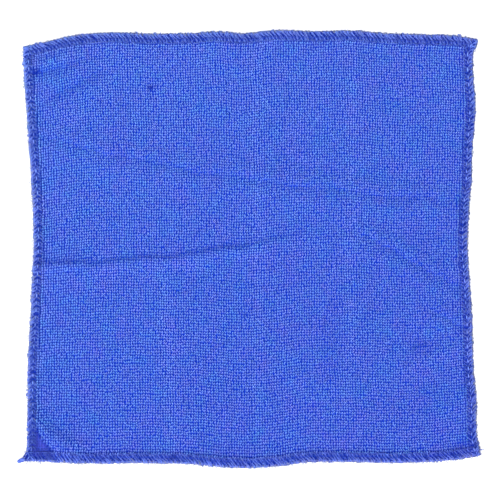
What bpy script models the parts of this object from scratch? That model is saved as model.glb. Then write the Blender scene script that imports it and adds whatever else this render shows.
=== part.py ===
"""A microfibre cloth, 25 x 25 cm, laid out flat with its edges pulled a little out of square.

One knitted square with an overlocked rim. The rim is the cloth's own hem, so both are one solid. Metres, +Z up; the
cloth's upper face looks up, its lower face rests on z = 0, and the origin is the middle of its footprint.
"""

from collections import namedtuple

import bmesh
import bpy
import numpy as np

MM = 0.001

# Driving dimensions, in millimetres unless a name says otherwise.
CLOTH_SIDE = 250.0
CLOTH_THICKNESS = 1.6
RIM_THICKNESS = 2.4
RIM_ROUNDING = 0.7
INNER_CELLS = 40
RIM_LINES = (0.0, 2.8, 5.6, 7.0)  # distance from the cloth's edge of each grid line in and beside the overlocked rim
RIM_FULLNESS = (0.8, 1.0, 0.7, 0.0)  # 1 is the rim's full thickness and 0 the cloth's own, line by line
REST_DEPTH = 0.06  # relief lower than this lies flat on what the cloth rests on

# Where the four corners lie.
Corner = namedtuple("Corner", "x y")
LOWER_LEFT = Corner(-129.6, -119.0)
LOWER_RIGHT = Corner(129.4, -115.6)
UPPER_RIGHT = Corner(127.4, 117.4)
UPPER_LEFT = Corner(-127.0, 113.2)

# How far each side bulges out past the straight line between its corners (less than 0 is drawn in), from left to right
# or from bottom to top.
Bulge = namedtuple("Bulge", "share out")
LOWER_SIDE = (
    Bulge(0.00, 0.0),
    Bulge(0.05, 0.1),
    Bulge(0.10, 1.0),
    Bulge(0.29, 1.9),
    Bulge(0.38, 2.8),
    Bulge(0.43, 4.3),
    Bulge(0.50, 5.2),
    Bulge(0.56, 4.5),
    Bulge(0.61, 2.8),
    Bulge(0.72, 2.7),
    Bulge(0.82, 3.5),
    Bulge(0.91, 2.9),
    Bulge(0.96, 1.6),
    Bulge(1.00, 0.0),
)
UPPER_SIDE = (
    Bulge(0.00, 0.0),
    Bulge(0.04, 1.9),
    Bulge(0.11, 5.7),
    Bulge(0.20, 7.0),
    Bulge(0.28, 6.0),
    Bulge(0.38, 5.9),
    Bulge(0.42, 6.5),
    Bulge(0.48, 5.3),
    Bulge(0.55, 6.7),
    Bulge(0.65, 5.8),
    Bulge(0.71, 6.0),
    Bulge(0.80, 4.0),
    Bulge(0.88, 3.0),
    Bulge(0.95, 2.0),
    Bulge(1.00, 0.0),
)
LEFT_SIDE = (
    Bulge(0.00, 0.0),
    Bulge(0.02, -3.4),
    Bulge(0.04, -4.7),
    Bulge(0.12, -4.9),
    Bulge(0.21, -4.7),
    Bulge(0.39, -6.3),
    Bulge(0.53, -7.2),
    Bulge(0.65, -6.0),
    Bulge(0.80, -3.3),
    Bulge(0.90, -1.3),
    Bulge(1.00, 0.0),
)
RIGHT_SIDE = (
    Bulge(0.00, 0.0),
    Bulge(0.04, -2.1),
    Bulge(0.13, -2.4),
    Bulge(0.20, -3.8),
    Bulge(0.34, -4.7),
    Bulge(0.42, -5.6),
    Bulge(0.50, -6.6),
    Bulge(0.60, -5.6),
    Bulge(0.66, -4.2),
    Bulge(0.73, -3.6),
    Bulge(0.84, -1.5),
    Bulge(0.94, -2.8),
    Bulge(0.97, -2.2),
    Bulge(1.00, 0.0),
)

# The main crease runs along one line of the grid. Each row says how high up the cloth it is there, from 0 to 1.
Height = namedtuple("Height", "share up")
CREASE_LINE = (
    Height(0.00, 0.490),
    Height(0.16, 0.482),
    Height(0.28, 0.497),
    Height(0.42, 0.518),
    Height(0.56, 0.551),
    Height(0.68, 0.562),
    Height(0.76, 0.540),
    Height(0.85, 0.480),
    Height(0.93, 0.430),
    Height(1.00, 0.415),
)

# Troughs lie on the table between two soft shoulders, and ridges stand up from it. Each runs along a curve from its
# start to its end, drawn towards its pull. Width is from the middle to a shoulder, or to where a ridge has faded.
Fold = namedtuple("Fold", "start_x start_y pull_x pull_y end_x end_y rise width")
TROUGHS = (
    Fold(-128, -4.5, -57, -7.5, 24, 11.5, 1.1, 6.0),  # the main crease, from the left edge to past the middle
    Fold(-128, -12.0, -108, -16.0, -82, -8.0, 0.5, 6.0),  # its short fork under it
    Fold(-120, 67.5, -7, 35.0, 112, 27.0, 0.5, 8.0),  # the long slanted crease above it
    Fold(54, 12.0, 84, 0.0, 118, -25.0, 0.6, 7.0),  # its continuation to the right edge
    Fold(94, -30.0, 110, -37.0, 125, -48.0, 0.4, 7.0),  # a short one under that
    Fold(-54, -2.0, -50, -60.0, -51, -116.0, 0.4, 9.0),  # creases from packing, top to bottom
    Fold(-3, 112.0, 0, 0.0, 1, -116.0, 0.4, 9.0),
    Fold(47, 118.0, 50, 0.0, 52, -108.0, 0.4, 9.0),
    Fold(99, 94.0, 101, 20.0, 102, -60.0, 0.4, 8.0),
    Fold(-122, 82.0, -108, 92.0, -88, 99.0, 0.9, 6.5),  # the upper left corner, drawn by its seam
)
RIDGES = (
    Fold(-128, 101.0, -112, 106.0, -88, 111.0, 1.1, 7.0),  # above the trough in the upper left corner
    Fold(-127, -80.0, -117, -110.0, -86, -113.0, 3.0, 9.0),  # across the lower left corner
    Fold(78, -72.0, 98, -62.0, 121, -52.0, 0.8, 9.0),  # low, near the lower right corner
    Fold(-36, -116.0, 0, -118.0, 34, -115.0, 0.9, 9.0),  # the lower seam, where it bulges
    Fold(119, -4.0, 117, 12.0, 119, 30.0, 0.8, 9.0),  # the right seam, where it is drawn in most
)
FOLD_STEPS = 24
LONGEST_FADE = 20.0  # a fold dies away over a third of its length at each end, or over this if that is less

CLOTH_BLUE = (0.067, 0.136, 0.708, 1.0)
CLOTH_ROUGHNESS = 0.9


def clear_scene():
    for obj in list(bpy.data.objects):
        bpy.data.objects.remove(obj)


def smooth_value(rows, share):
    """A smooth curve through a table's rows, read at each share along it."""
    places = np.array([row[0] for row in rows])
    values = np.array([row[1] for row in rows])
    slopes = np.gradient(values, places)
    row = np.clip(np.searchsorted(places, share, side="right") - 1, 0, len(rows) - 2)
    gap = places[row + 1] - places[row]
    t = (share - places[row]) / gap
    return (
        (1 + 2 * t) * (1 - t) ** 2 * values[row]
        + t * (1 - t) ** 2 * gap * slopes[row]
        + t**2 * (3 - 2 * t) * values[row + 1]
        + t**2 * (t - 1) * gap * slopes[row + 1]
    )


def side_points(start, end, bulges, share, outward):
    """Points along one side: the line between its corners plus its bulge. outward is +1 or -1."""
    start = np.array(start)
    run = np.array(end) - start
    normal = outward * np.array([-run[1], run[0]]) / np.hypot(*run)
    return start + share[..., None] * run + smooth_value(bulges, share)[..., None] * normal


def outline_map(across, up):
    """The place on the table of each point of the cloth, given as shares of its width and height."""
    lower = side_points(LOWER_LEFT, LOWER_RIGHT, LOWER_SIDE, across, -1)
    upper = side_points(UPPER_LEFT, UPPER_RIGHT, UPPER_SIDE, across, +1)
    left = side_points(LOWER_LEFT, UPPER_LEFT, LEFT_SIDE, up, +1)
    right = side_points(LOWER_RIGHT, UPPER_RIGHT, RIGHT_SIDE, up, -1)
    a = across[..., None]
    b = up[..., None]
    corners = (
        (1 - a) * (1 - b) * np.array(LOWER_LEFT)
        + a * (1 - b) * np.array(LOWER_RIGHT)
        + (1 - a) * b * np.array(UPPER_LEFT)
        + a * b * np.array(UPPER_RIGHT)
    )
    return (1 - b) * lower + b * upper + (1 - a) * left + a * right - corners


def along_fold(fold, places):
    """How far each place is from the fold's curve, and how much of the fold is left there, 1 to 0."""
    t = np.linspace(0.0, 1.0, FOLD_STEPS)[:, None]
    start = np.array([fold.start_x, fold.start_y])
    pull = np.array([fold.pull_x, fold.pull_y])
    end = np.array([fold.end_x, fold.end_y])
    curve = (1 - t) ** 2 * start + 2 * t * (1 - t) * pull + t**2 * end
    steps = np.diff(curve, axis=0)
    lengths = np.hypot(steps[:, 0], steps[:, 1])
    run = np.concatenate([[0.0], np.cumsum(lengths)])
    offset = places[..., None, :] - curve[:-1]
    on_step = np.clip((offset * steps).sum(-1) / lengths**2, 0.0, 1.0)
    gap = offset - on_step[..., None] * steps
    distance = np.hypot(gap[..., 0], gap[..., 1])
    nearest = distance.argmin(-1)[..., None]
    travelled = np.take_along_axis(run[:-1] + on_step * lengths, nearest, -1)[..., 0]
    fade = min(LONGEST_FADE, run[-1] / 3)
    left = np.clip(np.minimum(travelled, run[-1] - travelled) / fade, 0.0, 1.0)
    return np.take_along_axis(distance, nearest, -1)[..., 0], left**2 * (3 - 2 * left)


def relief(places):
    """How far the cloth's lower face stands off the table at each place."""
    height = np.zeros(places.shape[:-1])
    for fold in TROUGHS:
        distance, strength = along_fold(fold, places)
        steps = distance / fold.width
        height += fold.rise * strength * steps * np.exp((1 - steps**2) / 2)
    for fold in RIDGES:
        distance, strength = along_fold(fold, places)
        height += fold.rise * strength * np.exp(-((1.6 * distance / fold.width) ** 2))
    return np.maximum(height - REST_DEPTH, 0.0)


def grid_shares():
    """The grid lines from one side to the other, close together in the rim and even between."""
    rim = np.array(RIM_LINES) / CLOTH_SIDE
    inner = np.linspace(rim[-1], 1 - rim[-1], INNER_CELLS + 1)
    return np.concatenate([rim[:-1], inner, 1 - rim[-2::-1]])


def lift_to_crease(across, up):
    """Bends the grid's lines so that the one at half height runs along the main crease."""
    line = smooth_value(CREASE_LINE, across)
    return np.where(up < 0.5, up * 2 * line, 1 - (1 - up) * 2 * (1 - line))


def make_cloth_surface(name):
    """The cloth's lower face, as a grid moved onto the outline and the folds."""
    shares = grid_shares()
    count = len(shares)
    mesh = bpy.data.meshes.new(name)
    surface = bmesh.new()
    bmesh.ops.create_grid(surface, x_segments=count - 1, y_segments=count - 1, size=0.5)
    surface.to_mesh(mesh)
    surface.free()
    flat = np.empty(len(mesh.vertices) * 3)
    mesh.vertices.foreach_get("co", flat)
    lines = np.round((flat.reshape(-1, 3)[:, :2] + 0.5) * (count - 1)).astype(int)
    across = shares[lines[:, 0]]
    up = lift_to_crease(across, shares[lines[:, 1]])
    places = outline_map(across, up)
    height = relief(places)
    middle = (places.max(0) + places.min(0)) / 2
    points = np.column_stack([places - middle, height]) * MM
    mesh.vertices.foreach_set("co", points.ravel())
    mesh.update()
    return mesh, lines, count


def add_rim_group(obj, lines, count):
    """A vertex group that is 1 where the rim is thickest and 0 on the plain cloth."""
    group = obj.vertex_groups.new(name="rim")
    from_edge = np.minimum(lines, count - 1 - lines).min(1)
    for depth, fullness in enumerate(RIM_FULLNESS):
        members = [int(index) for index in np.flatnonzero(from_edge == depth)]
        group.add(members, fullness, "REPLACE")
    return group.name


def add_thickness(obj, group_name):
    """Thickens the surface upwards, more in the rim, and rounds the edge of the rim."""
    solid = obj.modifiers.new("thickness", "SOLIDIFY")
    solid.thickness = RIM_THICKNESS * MM
    solid.offset = 1.0
    solid.vertex_group = group_name
    solid.thickness_vertex_group = CLOTH_THICKNESS / RIM_THICKNESS
    rounding = obj.modifiers.new("rounding", "BEVEL")
    rounding.width = RIM_ROUNDING * MM
    rounding.segments = 2
    rounding.limit_method = "ANGLE"
    rounding.angle_limit = np.radians(50.0)


def make_material():
    material = bpy.data.materials.new("blue microfibre")
    material.use_nodes = True
    shader = material.node_tree.nodes["Principled BSDF"]
    shader.inputs["Base Color"].default_value = CLOTH_BLUE
    shader.inputs["Roughness"].default_value = CLOTH_ROUGHNESS
    shader.inputs["Metallic"].default_value = 0.0
    material.diffuse_color = CLOTH_BLUE
    return material


def build_cloth():
    collection = bpy.data.collections.new("microfibre_cloth")
    bpy.context.scene.collection.children.link(collection)
    mesh, lines, count = make_cloth_surface("cloth")
    cloth = bpy.data.objects.new("cloth", mesh)
    collection.objects.link(cloth)
    mesh.materials.append(make_material())
    mesh.shade_smooth()
    add_thickness(cloth, add_rim_group(cloth, lines, count))


clear_scene()
build_cloth()
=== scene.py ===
from collections import namedtuple
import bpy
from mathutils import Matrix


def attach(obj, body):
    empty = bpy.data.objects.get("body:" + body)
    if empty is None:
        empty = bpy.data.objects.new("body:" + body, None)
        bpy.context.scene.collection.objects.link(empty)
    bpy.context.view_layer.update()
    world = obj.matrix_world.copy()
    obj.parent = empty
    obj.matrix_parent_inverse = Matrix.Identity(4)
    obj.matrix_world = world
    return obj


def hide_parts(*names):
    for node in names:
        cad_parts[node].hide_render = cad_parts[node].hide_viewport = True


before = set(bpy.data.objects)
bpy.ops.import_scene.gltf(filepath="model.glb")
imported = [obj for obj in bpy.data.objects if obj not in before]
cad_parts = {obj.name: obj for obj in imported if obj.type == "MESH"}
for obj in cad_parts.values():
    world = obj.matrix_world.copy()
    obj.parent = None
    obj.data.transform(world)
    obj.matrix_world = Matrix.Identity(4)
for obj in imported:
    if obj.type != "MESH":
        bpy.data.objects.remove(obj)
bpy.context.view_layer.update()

from types import SimpleNamespace

import bpy
import numpy as np
from bpy.props import FloatProperty, FloatVectorProperty, IntProperty, PointerProperty
from mathutils import Vector
from mathutils.kdtree import KDTree

bl_info = {
    "name": "Microfibre cloth",
    "version": (1, 0, 0),
    "blender": (4, 5, 0),
    "location": "3D View > Sidebar > Cloth",
    "description": "A knitted microfibre cloth with overlocked edges, laid out flat",
    "category": "Object",
}

MM = 0.001
BODY = "root"
BAKE_MAP = "OFBake"  # the map that the knit's pattern is baked on
UP = np.array([0.0, 0.0, 1.0])


def rows(kind, *values):
    """A table, with a row of this kind from each group of values."""
    return [kind(*group) for group in values]


def columns(table):
    """The table's columns, as arrays under its rows' names."""
    return type(table[0])(*np.array(table).T)


# ---- The cloth's outline, in millimetres, as it lies ----

Corner = namedtuple("Corner", "x y")
LOWER_LEFT = Corner(-129.6, -119.0)
LOWER_RIGHT = Corner(129.4, -115.6)
UPPER_RIGHT = Corner(127.4, 117.4)
UPPER_LEFT = Corner(-127.0, 113.2)
THREAD_ROOM = 0.999  # the cloth is smaller than its outline by this, to leave room for the seam's threads

# How far each side bulges out past the line between its corners, from left to right or from bottom to top.
Bulge = namedtuple("Bulge", "share out")
LOWER_SIDE = rows(
    Bulge,
    (0.00, 0.0), (0.05, 0.1), (0.10, 1.0), (0.29, 1.9), (0.38, 2.8), (0.43, 4.3), (0.50, 5.2),
    (0.56, 4.5), (0.61, 2.8), (0.72, 2.7), (0.82, 3.5), (0.91, 2.9), (0.96, 1.6), (1.00, 0.0),
)
UPPER_SIDE = rows(
    Bulge,
    (0.00, 0.0), (0.04, 1.9), (0.11, 5.7), (0.20, 7.0), (0.28, 6.0), (0.38, 5.9), (0.42, 6.5), (0.48, 5.3),
    (0.55, 6.7), (0.65, 5.8), (0.71, 6.0), (0.80, 4.0), (0.88, 3.0), (0.95, 2.0), (1.00, 0.0),
)
LEFT_SIDE = rows(
    Bulge,
    (0.00, 0.0), (0.013, -2.9), (0.025, -4.2), (0.05, -4.8), (0.12, -4.9), (0.21, -4.7),
    (0.39, -6.3), (0.53, -7.2), (0.65, -6.0), (0.80, -3.3), (0.90, -1.3), (1.00, 0.0),
)
RIGHT_SIDE = rows(
    Bulge,
    (0.00, 0.0), (0.04, -2.1), (0.13, -2.4), (0.20, -3.8), (0.34, -4.7), (0.42, -5.6), (0.50, -6.6),
    (0.60, -5.6), (0.66, -4.2), (0.73, -3.6), (0.84, -1.5), (0.94, -2.8), (0.97, -2.3), (0.985, -0.5),
    (1.00, 0.0),
)

# The four sides, in order round the cloth, each from a corner to the next, in shares of its width and height.
Side = namedtuple("Side", "name from_across from_up to_across to_up")
SIDES = rows(Side, ("lower", 0, 0, 1, 0), ("right", 1, 0, 1, 1), ("upper", 1, 1, 0, 1), ("left", 0, 1, 0, 0))

# ---- The folds, in millimetres ----

# Each runs along a curve from its start to its end, drawn towards its pull. A trough lies between two
# shoulders that rise to its left and right at these distances. A ridge fades over them. Press is painted
# shade: how much darker the pile is painted along it, and how much lower its loops stand there. Below 0 it
# is a painted highlight, with loops that stand higher.
Fold = namedtuple("Fold", "start_x start_y pull_x pull_y end_x end_y rise left_reach right_reach press")
TROUGHS = rows(
    Fold,
    (-160, -12.0, -108, -17.0, -76, -8.0, 0.7, 3.5, 4.5, 0.05),  # beside the main crease
    (-160, 74.5, -17, 32.0, 140, 26.5, 0.75, 3.6, 6.0, 0.085),  # the long slanted crease above it
    (34, 19.0, 84, 0.0, 138, -33.0, 0.9, 4.0, 6.0, 0.09),  # its continuation to the right edge
    (88, -28.0, 110, -37.0, 146, -58.0, 0.7, 4.0, 5.0, 0.07),
    (-54, 16.0, -43, -60.0, -43, -146.0, 0.36, 7.0, 5.0, -0.17),  # creases from packing
    (2, 142.0, 5, 0.0, 5, -136.0, 0.36, 7.0, 5.0, -0.11),
    (56, 158.0, 57, 20.0, 55, -108.0, 0.36, 7.0, 5.0, -0.13),
    (99, 94.0, 101, 20.0, 102, -60.0, 0.36, 7.0, 5.0, 0.0),
    (-124, 75.0, -110, 88.0, -78, 102.0, 1.3, 5.0, 6.0, 0.14),  # the upper left corner
    (-138, 94.0, -118, 99.5, -86, 107.0, 0.7, 4.0, 5.0, 0.20),
)
RIDGES = rows(
    Fold,
    (-185, -8.5, -57, -15.5, 42, 10.5, 1.5, 3.0, 8.0, 0.0),  # the main crease, steeper above than below
    (-130, 100.0, -112, 106.0, -88, 111.0, 1.1, 6.0, 6.0, -0.05),  # the upper left corner
    (-127, -80.0, -117, -110.0, -86, -113.0, 3.0, 6.0, 9.0, -0.04),  # the lower left corner
    (78, -72.0, 98, -62.0, 121, -52.0, 0.8, 6.0, 6.0, -0.08),  # near the lower right corner
    (-36, -116.0, 0, -118.0, 34, -115.0, 0.9, 8.0, 8.0, 0.0),  # the lower seam, where it bulges
    (119, -4.0, 117, 12.0, 119, 30.0, 0.8, 8.0, 8.0, 0.0),  # the right seam, where it is drawn in most
)
# Painted shade with no fold, where the pile is painted darker and its loops stand lower, and painted
# highlights, where it is painted lighter and its loops stand higher.
PRESSED_AND_SHADED = rows(
    Fold,
    (-124, -89.0, -118, -110.0, -102, -125.0, 0.0, 4.5, 26.0, 0.66),  # the lower left corner
    (106, -117.0, 125, -113.0, 130, -92.0, 0.0, 8.0, 12.0, 0.28),  # the lower right corner
    (-185, -6.3, -57, -13.3, 42, 12.7, 0.0, 3.2, 3.4, 0.19),  # the upper side of the main crease
    (-185, -12.5, -57, -19.5, 42, 6.5, 0.0, 6.0, 8.0, -0.05),  # its lower side
    (-126, 95.0, -121, 99.5, -114, 102.0, 0.0, 7.0, 7.0, 0.25),  # a dent in the left seam
    (-6, -36.0, -4, -37.0, -1, -38.0, 0.0, 4.0, 4.0, 0.3),  # marks in the pile
    (-57, 91.5, -54, 91.0, -52, 90.0, 0.0, 4.0, 4.0, 0.45),
    (87, -55.0, 95, -54.0, 103, -53.0, 0.0, 6.0, 6.0, 0.30),
    (43, -25.0, 47, -50.0, 46, -80.0, 0.0, 10.0, 10.0, 0.10),
    (98, -70.0, 100, -80.0, 98, -98.0, 0.0, 10.0, 10.0, 0.12),
    (51, 5.0, 60, 7.0, 71, 5.0, 0.0, 5.0, 5.0, -0.12),
)
FOLD_STEPS = 24
LONGEST_FADE = 55.0  # a fold dies away over a third of its length at each end, or over this if that is less

Wave = namedtuple("Wave", "length_x length_y phase rise")
# Slow waves that leave the cloth nowhere quite flat.
WAVES = rows(
    Wave,
    (61.0, 190.0, 0.4, 0.04),
    (150.0, 47.0, 2.1, 0.04),
    (33.0, -58.0, 4.0, 0.03),
    (-21.0, 27.0, 1.2, 0.025),
    (17.0, 14.0, 5.3, 0.015),
)
# How the folds wander off their curves, and a slow swing of painted shade across the pile, which also
# lowers its loops a little.
FOLD_WANDER = rows(Wave, (46.0, 70.0, 1.3, 0.7), (19.0, -27.0, 3.0, 0.35))
SHADE = rows(Wave, (520.0, -780.0, 0.36, 0.03))
# How the knit's columns and rows wander off their straight lines.
COLUMN_WANDER = rows(
    Wave,
    (90.0, 14.0, 0.3, 0.10),
    (26.0, -37.0, 2.0, 0.11),
    (13.0, 60.0, 4.4, 0.06),
    (-7.0, 9.0, 1.9, 0.04),
)
ROW_WANDER = rows(
    Wave,
    (15.0, 80.0, 1.1, 0.11),
    (-33.0, 25.0, 3.3, 0.13),
    (55.0, 12.0, 5.0, 0.08),
    (8.0, 8.5, 0.6, 0.06),
)

# ---- Tones, each from 0 in the deepest shade to 1 on the brightest yarn ----

GROUND_TONE = 0.25  # the ground's upper face, down between the loops, in painted shade
FLAT_FROM = 0.3  # past this painted shade the pile is painted flat and smooth, its tone falling this fast
FLAT_TONE = 4.0
FLAT_THREAD_TONE = 0.22  # the even tone of thread under painted shade, and how soon it has that tone
FLAT_THREAD_RISE = 1.5
EVEN_TONE = 0.62  # the strands of an even seam keep close to this
FUZZ_FROM = 1.25  # above this tone a thread turns into its pale fuzz, this fast
FUZZ_RISE = 1.33
HIGHEST_TONE = 2.0
LOOP_TONES = (-1.0, 1.2)  # the knit's lowest tone, in the painted shade of flat pile, and its highest

# ---- The ground and the knit ----

RIM_LINES = (0.0, 0.08, 0.25, 0.5, 0.8, 1.6, 3.0, 4.4, 5.4, 6.1, 7.2)  # the ground's grid lines in the rim
SHEET_CELLS = 110  # its cells between the rims
RIM_STEP = (-1.0, 1.6)  # from where to where, past the rim's width, it thins down to the plain cloth

# One stitch: a yarn that rises from under the stitch below, turns over in its head and goes down again.
# Across and along are shares of a stitch, and lift is a share of the loop's height.
# Tone runs from painted shade at the feet, down between the loops, to a painted highlight on the head.
LoopPoint = namedtuple("LoopPoint", "across along lift girth tone")
LOOP = rows(
    LoopPoint,
    (-0.14, -0.60, 0.00, 0.80, 0.08),
    (-0.24, -0.12, 0.70, 1.00, 0.55),
    (0.00, 0.26, 1.00, 1.25, 0.88),
    (0.24, -0.12, 0.70, 1.00, 0.55),
    (0.14, -0.60, 0.00, 0.80, 0.08),
)
WALE_DRAW = 0.4  # the columns follow only this share of how far the left and right edges are drawn in
KNIT_MARGIN = 0.02  # the knit is laid out this share past the outline, and the seam cuts it off
KNIT_START = 2.4  # it starts this far in from the edge
KNIT_WIDTH = 253.0  # mean width of the cloth, as it lies
KNIT_HEIGHT = 243.0
COURSE_SPREAD = 0.04  # the rows lie closer together above, and further apart below, by this share
LOWER_THIRD = (0.28, 0.42)  # below this share of the cloth's height the stitches are this much wider
LOWER_WIDTH = 0.08
UNDER_SEAM = 0.12  # how much height and tone loops keep under the seam's threads; lost tone is painted shade
SEAM_END = (4.5, 5.8)  # how far in from the edge the threads begin and cease to cover them

# ---- The seams ----

# Where a strand of the seam runs, from its inner end over the edge to the underside: how far in from the
# edge, with how much of its inner and outer slant, on which face of the rim, from 1 on the upper one over 0
# at the very edge to -1 on the lower one, how thick, and with which tone.
StrandPoint = namedtuple("StrandPoint", "depth inner outer face girth tone")
STRAND = rows(
    StrandPoint,
    (5.6, 1.00, 0.00, 0.55, 0.50, 0.75),
    (5.0, 0.78, 0.00, 0.90, 0.80, 0.90),
    (4.1, 0.42, 0.00, 1.00, 1.00, 0.90),
    (3.1, 0.04, 0.00, 0.78, 0.80, 0.62),
    (2.2, 0.00, 0.34, 1.00, 1.00, 0.90),
    (1.2, 0.00, 0.72, 1.00, 1.15, 1.00),
    (0.4, 0.00, 0.96, 0.60, 1.20, 3.00),
    (0.3, 0.00, 1.04, -0.60, 1.20, 3.00),
    (1.4, 0.00, 1.20, -1.00, 1.10, 0.90),
    (3.2, 0.00, 1.50, -1.00, 1.00, 0.90),
    (5.0, 0.00, 1.80, -0.80, 0.80, 0.60),
)
EDGE_POINT = 6  # the strand's point at the very edge
STRAND_WIDTH = 1.2  # as a share of the thread's width
STRAND_STAND = 0.8  # how much of their half height stands off the rim
SLANT_ROOM = 3.0  # the strands start this far before their side and end this far after it
END_GAP = 0.1  # they keep this far from its ends, and pass the next side's edge by EDGE_SLIP at most
EDGE_SLIP = 0.2
THREAD_FLATTENING = 0.5  # a strand's height as a share of the thread's width, as its yarns lie spread out

# The soft yarns of a strand: where each lies across it, which way it leans, how wide it is and its tone.
# The middle yarn's higher tone is a painted highlight along the strand's top, the lower tones beside it
# painted shade.
Filament = namedtuple("Filament", "place lean girth tone")
FILAMENTS = rows(
    Filament,
    (-0.38, 1.0, 0.38, 0.44),
    (0.00, 1.0, 0.46, 1.25),
    (0.38, 1.0, 0.38, 0.44),
    (0.90, -0.8, 0.26, 0.65),
)

# How each side is sewn: how far apart its strands are, how far they slant inside and outside the needle line,
# how far past the edge its small loops reach, the tone of its edge, how even its strands are, and where its
# short stitches lie.
Seam = namedtuple(
    "Seam",
    "side stitch inner_slant outer_slant loop_reach edge_tone evenness "
    "line_depth line_stitch line_start line_reach line_tone",
)
SEAMS = rows(
    Seam,
    ("lower", 1.93, -1.9, 2.2, 0.60, 1.7, 0.0, 5.15, 3.86, 0.1, 3.86, 0.20),
    ("right", 2.04, 1.8, 2.9, 0.40, 1.45, 0.0, 2.9, 4.08, 0.3, 2.5, 1.0),
    ("upper", 2.04, -1.2, 2.4, 0.30, 1.15, 0.3, 5.4, 3.86, 0.3, 3.3, 0.35),
    ("left", 2.04, 1.8, 2.4, 0.65, 1.7, 0.0, 2.9, 4.08, 0.3, 2.5, 1.0),
)
# A short stitch's height, width and tone: at its ends, and how much more in its middle. The lower tone
# at its ends, where it sinks in, is painted shade.
LINE_LIFT = (0.25, 0.85)
LINE_GIRTH = (0.25, 0.5)
LINE_TONE = (0.3, 0.7)
# The two threads along the edge: the length and the points of a turn, how far they keep from the side's ends,
# how far in they run, and how far each is off their middle line, which is this far above the rim's middle.
CORD = SimpleNamespace(twist=2.04, points=6, gap=0.2, depth=0.75, swing=0.28, rise=0.50, girth=0.45)
# The small loops past the edge. Their feet are this far in, and higher than their heads.
EDGE_LOOP = SimpleNamespace(gap=0.8, width=1.3, reach=1.2, foot=0.15, tilt=0.25, tone=1.9)
# The chain of three threads at the lower left corner, and the thread end at the lower right one.
CHAIN = SimpleNamespace(start=(-125.9, -117.3, 1.45), end=(-129.9, -119.2, 1.3), radius=0.85, girth=0.42)
CHAIN_TURNS = 2.6
CHAIN_PHASES = (0.0, 2.1, 4.2)
TAIL = SimpleNamespace(start=(127.6, -112.4, 1.2), end=(131.8, -112.2, 0.5), sway=0.25, girth=0.8, thins=0.4)
ENDS_TONE = (0.7, 0.3)  # their mean tone, and how far it swings
HAIRS_BY_SIDE = (0.34, 0.24, 0.2, 0.22)  # the share of the loose fibres that each side has
# A loose fibre: how far in its root is, how far the shortest reach and how much further most do, how low they
# come, and how much thinner and brighter the tip is than the root.
HAIR = SimpleNamespace(root=0.3, shortest=0.45, longer=0.45, lowest=0.1, girth=1.1, thins=0.7, shade=0.5)

# How uneven the work is: each is the usual error, as a share or in millimetres.
KNIT_ERROR = SimpleNamespace(
    skew=0.06, width=0.10, across=0.06, along=0.08, height=0.09, girth=0.05, legs=0.17, tone=0.09
)
STRAND_ERROR = SimpleNamespace(
    start=0.25, lean=0.18, tone=0.20, slack=1.2, place=0.12, path=0.05, girth=0.15, yarn=0.20, point=0.24
)
LINE_ERROR = SimpleNamespace(depth=0.08, girth=0.15, tone=0.2)
CORD_ERROR = SimpleNamespace(turn=0.06, girth=0.08, tone=1.6)
EDGE_LOOP_ERROR = SimpleNamespace(start=0.2, width=0.15, reach=0.8, level=0.15)
HAIR_ERROR = SimpleNamespace(lean=0.8, curl=0.6, level=0.35, droop=-0.1, lift=0.3)
KNIT_SEED = 7
SEAM_SEED = 3
HAIR_SEED = 11

# ---- Dye, light and view ----

DYE_DRIFT = (-0.20, 0.24, 0.0)  # how much greener the dye gets for each metre across and up the cloth
PAINTED_FALLOFF = (-0.20, 0.0, 0.0)  # painted light falloff, darker to the right: how much lighter per metre
DYE_GREEN = 0.4  # how far green swings against red in a patch
DYE_OFFSET = (3.1, 1.7, 0.4)  # keeps the lighter and darker patches apart from the hue's
KNIT_DYE = {"Patch Size": 0.017, "Hue Change": 1.25, "Value Change": 0.05}
THREAD_DYE = {"Patch Size": 0.010, "Hue Change": 0.5, "Value Change": 0.3}
HAIR_DYE = {"Patch Size": 0.006, "Hue Change": 0.4, "Value Change": 0.3}
GRAIN_ROUGHNESS = (0.68, 0.25)  # how rough the grain's hollows are, and how much rougher its tops
GRAIN_RELIEF = 0.0001  # the grain's height, in metres
SENSOR = 36.0
CAMERA_PLACE = (0.00014, -0.00052)  # what the camera is straight above, in metres
KEY_PLACE = (-0.60, -0.75, 1.15)  # the key light shines from here on the cloth's middle
TABLE_HALF = 3.0


# ---- Settings ----


def length(name, description, default):
    return FloatProperty(
        name=name, description=description, default=default, min=0.0, unit="LENGTH", precision=5
    )


def colour(name, description, default):
    return FloatVectorProperty(
        name=name, description=description, default=default, size=3, min=0.0, max=1.0, subtype="COLOR"
    )


class ClothSizes(bpy.types.PropertyGroup):
    """The cloth's sizes."""

    cut: length("Cut side", "Side of the square that the cloth was cut to", 0.25)
    ground: length("Ground", "Thickness of the knit's ground, under its loops", 0.00095)
    loop_height: length("Loop height", "How far the knit's loops stand off its ground", 0.00065)
    yarn: length("Yarn", "Diameter of the knit's yarn", 0.00058)
    wale: length("Wale", "Distance between the knit's columns", 0.00141)
    course: length("Course", "Distance between the knit's rows", 0.00152)
    rim: length("Rim", "Thickness of the cloth inside the overlocked rim", 0.0013)
    rim_width: length("Rim width", "Width of the overlocked rim", 0.0056)
    thread: length("Thread", "Width of the overlock thread", 0.00095)
    chain: length("Chain", "Diameter of the thread in the small loops at the edge", 0.00036)
    hair: length("Loose fibre", "Diameter of a loose fibre", 0.00007)
    hairs: IntProperty(name="Loose fibres", description="How many stick out", default=1800, min=0)


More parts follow.
